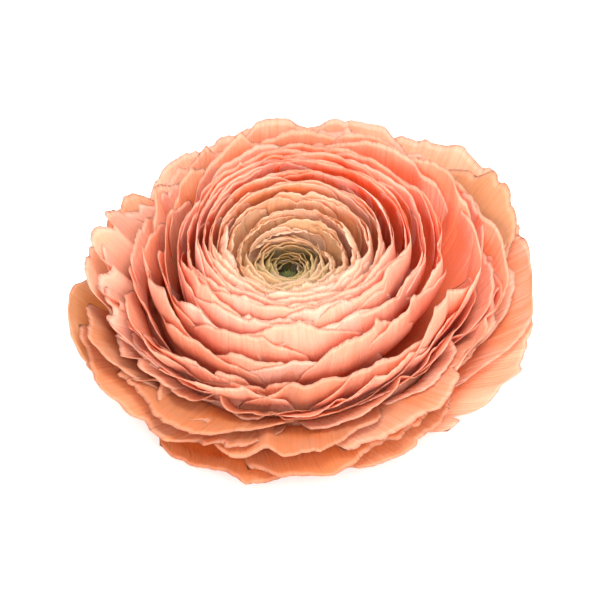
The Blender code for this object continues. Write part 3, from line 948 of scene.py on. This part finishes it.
# seeds on a dome, each a golden turn from the last
def buildCarpelDome():
    inputs = {"Count": 100, "Dome Radius": 0.0, "Dome Height": 0.0, "Carpel Length": 0.0, "Seed": 1}
    tree, given = newGroup("carpelDome", "Carpel", inputs, "Carpel Material", "Dome")
    points, index = countedPoints(tree, given["Count"])
    share = mathNode(tree, "DIVIDE", plus(tree, index, 0.5), given["Count"])
    turn = times(tree, index, math.radians(carpels["turn"]))
    stray = randomNode(tree, *carpels["lengths"], given["Seed"])
    reach = times(tree, given["Dome Radius"], mathNode(tree, "SQRT", share))
    rise = mathNode(tree, "SQRT", minus(tree, 1.0, share, clamp=True))
    spread = aroundMiddle(tree, points, reach, turn, times(tree, given["Dome Height"], rise))
    facing = vectorNode(tree, 0.0, times(tree, share, carpels["lean"]), turn)
    size = times(tree, given["Carpel Length"], stray)
    seeds = instanceNode(tree, spread, given["Carpel"], facing, size)
    addNode(tree, "NodeGroupOutput", {0: realize(tree, seeds, given["Carpel Material"])})
    return tree


def makeCarpels():
    dome = carpelBlank()
    addNodes(dome, "dome", buildCarpelDome(), {
        "Count": carpels["count"],
        "Dome Radius": carpels["radius"] / 1000.0,
        "Dome Height": carpels["height"] / 1000.0,
        "Carpel Length": carpels["length"],
        "Seed": carpels["seed"],
        "Carpel Material": materials["carpelGreen"],
    })
    seatPiece(dome, "carpels", carpels["foot"])
    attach(dome, "root")
    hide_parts("carpel_cluster")
    print("carpels:", carpels["count"])


# short pale hairs on the green surfaces, with their sizes in millimetres
hairs = {
    "perSquareMetre": 2.2e6,
    "length": 0.7,
    "width": 0.035,
    "highest": 7.0,  # above this the skin is hidden between the petals
    "lengths": (0.5, 1.2),  # the shortest and the longest, as shares of that length
    "stray": (0.5, 0.5, 3.0),  # how far each turns aside, in radians
}


# the hairs are joined to the surface they grow on
def buildHairs():
    inputs = {"Density": 0.0, "Length": 0.0, "Width": 0.0, "Highest": 0.0, "Seed": 1}
    tree, given = newGroup("hairs", "Skin", inputs, "Hair Material", "Hairy")
    position = addNode(tree, "GeometryNodeInputPosition").outputs[0]
    height = addNode(tree, "ShaderNodeSeparateXYZ", {0: position}).outputs[2]
    below = {0: height, 1: given["Highest"]}
    below = addNode(tree, "FunctionNodeCompare", below, data_type="FLOAT", operation="LESS_THAN").outputs[0]
    scatter = {"Mesh": given["Skin"], "Selection": below, "Density": given["Density"], "Seed": given["Seed"]}
    scatter = addNode(tree, "GeometryNodeDistributePointsOnFaces", scatter)
    cone = {"Vertices": 3, "Radius Top": 0.0, "Radius Bottom": given["Width"], "Depth": given["Length"]}
    cone = addNode(tree, "GeometryNodeMeshCone", cone)
    stray = {0: tuple(-most for most in hairs["stray"]), 1: hairs["stray"], "Seed": given["Seed"]}
    stray = addNode(tree, "FunctionNodeRandomValue", stray, data_type="FLOAT_VECTOR").outputs[0]
    turned = {0: scatter.outputs["Rotation"], 1: stray}
    turned = addNode(tree, "FunctionNodeRotateRotation", turned, rotation_space="LOCAL").outputs[0]
    size = randomNode(tree, *hairs["lengths"])
    grown = instanceNode(tree, scatter.outputs["Points"], cone.outputs[0], turned, size)
    joined = addNode(tree, "GeometryNodeJoinGeometry", {0: given["Skin"]})
    tree.links.new(realize(tree, grown, given["Hair Material"]), joined.inputs[0])
    addNode(tree, "NodeGroupOutput", {0: joined.outputs[0]})
    return tree


hairTree = buildHairs()


def growHairs(piece, seed):
    addNodes(piece, "hairs", hairTree, {
        "Density": hairs["perSquareMetre"],
        "Length": hairs["length"] / 1000.0,
        "Width": hairs["width"] / 1000.0,
        "Highest": bloomZ + hairs["highest"] / 1000.0,
        "Seed": seed,
        "Hair Material": materials["hair"],
    })


# five sepals lie under the bellies of the open petals
sepals = {
    "count": 5,
    "first": 30.0,
    "halfWidth": 4.9,
    "curve": ((5.9, 6.1), (8.4, 4.4), (11.6, 2.5), (15.4, 2.0)),  # radius and height, out to the tip
    "cup": 0.5,
    "thickness": 0.45,
    "columns": 25,
    "rows": 31,
}


def makeSepals():
    for number in range(sepals["count"]):
        rng = np.random.default_rng(900 + number)
        across, along = sheetPlaces(sepals["rows"], sepals["columns"])
        margin = 0.22 * np.abs(across) ** 1.8 * along
        length = along * (1.0 - margin + 0.02 * waviness((across + 1) / 2, 7, rng) * along)
        radius, height = curvePoint(sepals["curve"], length)
        width = sepals["halfWidth"] * (0.22 + 0.78 * np.sin(math.pi * (0.14 + 0.82 * length)))
        middle = math.radians(sepals["first"] + 360.0 / sepals["count"] * number)
        height = height + sepals["cup"] * (np.abs(across) ** 2 - 0.4) * blend(0.0, 1.0, length / 0.4)
        place = placed(radius, height, middle + across * width / radius)
        sepal = newSheet(f"sepal{number + 1}", *place, {"across": across, "along": along})
        addSkin(sepal, "stemGreen", thickness=sepals["thickness"], ruffle=0.2, ruffleScale=1.2, crease=0.18,
                creaseCount=7.0, seed=number)
        growHairs(sepal, 40 + number)
        bakeModifiers(sepal)
        keepInside(sepal)
        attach(sepal, "root")
        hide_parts(f"sepal_{number + 1}")
    print("sepals:", sepals["count"])


# the cut stem with its hollow middle, and the dome that carries the petals
stem = {
    # radius and height, from the middle of the hollow out and up to the dome
    "profile": [
        (0.0, 3.5), (1.0, 3.5), (1.2, 3.2), (1.3, 2.6), (1.45, 2.44), (1.9, 2.4), (2.35, 2.42),
        (2.55, 2.52), (2.62, 2.75), (2.6, 3.1), (2.62, 3.5), (2.7, 3.9), (2.95, 4.5), (3.4, 5.2),
        (4.1, 5.75), (4.9, 6.2), (5.7, 6.6), (6.4, 7.0), (6.85, 7.6),
    ],
    "cutSteps": 6,  # the first of them show the pale cut
    "domeSteps": 14,
    "domeRadius": 6.9,
    "waist": 7.6,
    "rise": 10.7,
    "ribs": 11,
    "ribDepth": 0.035,
    "sides": 88,
}


def makeStem():
    profile = list(stem["profile"])
    steps = stem["domeSteps"]
    for step in range(1, steps + 1):
        turn = math.pi / 2 * step / steps
        profile.append((stem["domeRadius"] * math.cos(turn), stem["waist"] + stem["rise"] * math.sin(turn)))
    profile[-1] = (0.0, profile[-1][1])
    sides = stem["sides"]
    points, rings = [], []
    for radius, height in profile:
        if radius == 0.0:
            rings.append([len(points)])
            points.append((axisX, axisY, bloomZ + height / 1000.0))
            continue
        rings.append(list(range(len(points), len(points) + sides)))
        for side in range(sides):
            turn = math.tau * side / sides
            ribbed = float(blend(0.0, 1.0, (radius - 2.2) / 0.4) * blend(1.0, 0.0, (height - 6.0) / 1.5))
            reach = radius * (1.0 + stem["ribDepth"] * ribbed * math.cos(stem["ribs"] * turn)) / 1000.0
            x, y = axisX + reach * math.cos(turn), axisY + reach * math.sin(turn)
            points.append((x, y, bloomZ + height / 1000.0))
    faces, shades = [], []
    for index, (lower, upper) in enumerate(zip(rings, rings[1:])):
        for side in range(sides):
            after = (side + 1) % sides
            if len(lower) == 1:
                faces.append((lower[0], upper[after], upper[side]))
            elif len(upper) == 1:
                faces.append((lower[side], lower[after], upper[0]))
            else:
                faces.append((lower[side], lower[after], upper[after], upper[side]))
            shades.append(1 if index < stem["cutSteps"] else 0)
    mesh = bpy.data.meshes.new("stem")
    mesh.from_pydata(points, [], faces)
    mesh.materials.append(materials["stemGreen"])
    mesh.materials.append(materials["cutGreen"])
    mesh.polygons.foreach_set("material_index", shades)
    mesh.shade_smooth()
    stub = newObject("stem", mesh)
    growHairs(stub, 60)
    bakeModifiers(stub)
    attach(stub, "root")
    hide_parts("stem_and_receptacle")
    print("stem is made")


makeCarpels()
makeHeart()
makeSpiralPetals()
makeGuardPetals()
makeSepals()
makeStem()


# floor, light and camera

studio = {
    "elevation": 48.0,
    "distance": 0.52,
    "lens": 168.0,
    "target": (0.0, 0.0, 0.0135),
    "world": 1.36,
    "key": 5.6,
    "keyPlace": (0.12, 0.02, 0.78),
    "keySize": 0.40,
    "keyColour": (1.0, 0.98, 0.95),
    "fill": 7.4,
    "fillPlace": (0.02, -0.62, 0.46),
    "fillSize": 0.70,
    "fillColour": (1.0, 1.0, 1.0),
    "floor": (0.88, 0.88, 0.88, 1.0),
    "floorReach": 3,
}

floorMesh = bpy.data.meshes.new("floor")
reach = studio["floorReach"]
floorCorners = [(-reach, -reach, 0), (reach, -reach, 0), (reach, reach, 0), (-reach, reach, 0)]
floorMesh.from_pydata(floorCorners, [], [(0, 1, 2, 3)])
floor = newObject("floor", floorMesh)
paper = bpy.data.materials.new("paleFloor")
paper.use_nodes = True
paper.node_tree.nodes["Principled BSDF"].inputs["Base Color"].default_value = studio["floor"]
paper.node_tree.nodes["Principled BSDF"].inputs["Roughness"].default_value = 0.9
floor.data.materials.append(paper)

world = bpy.data.worlds.new("studio")
bpy.context.scene.world = world
world.use_nodes = True
world.node_tree.nodes["Background"].inputs["Color"].default_value = (1.0, 1.0, 1.0, 1.0)
world.node_tree.nodes["Background"].inputs["Strength"].default_value = studio["world"]


def addArea(name):
    light = bpy.data.lights.new(name + "Light", "AREA")
    light.shape = "DISK"
    light.size = studio[name + "Size"]
    light.energy = studio[name]
    light.color = studio[name + "Colour"]
    lamp = bpy.data.objects.new(name + "Light", light)
    bpy.context.scene.collection.objects.link(lamp)
    lamp.location = studio[name + "Place"]
    aim = Vector(studio["target"]) - lamp.location
    lamp.rotation_euler = aim.to_track_quat("-Z", "Y").to_euler()


addArea("key")
addArea("fill")

view = bpy.data.cameras.new("camera")
view.lens = studio["lens"]
view.clip_start = 0.01
camera = bpy.data.objects.new("camera", view)
bpy.context.scene.collection.objects.link(camera)
tilt = math.radians(studio["elevation"])
target = Vector(studio["target"])
camera.location = target + studio["distance"] * Vector((0.0, -math.cos(tilt), math.sin(tilt)))
camera.rotation_euler = (target - camera.location).to_track_quat("-Z", "Y").to_euler()
bpy.context.scene.camera = camera
bpy.context.scene.view_settings.view_transform = "Standard"
bpy.context.scene.cycles.diffuse_bounces = 12  # light finds its way down between the petals
bpy.context.scene.cycles.max_bounces = 16
print("studio is ready")

bpy.context.view_layer.update()
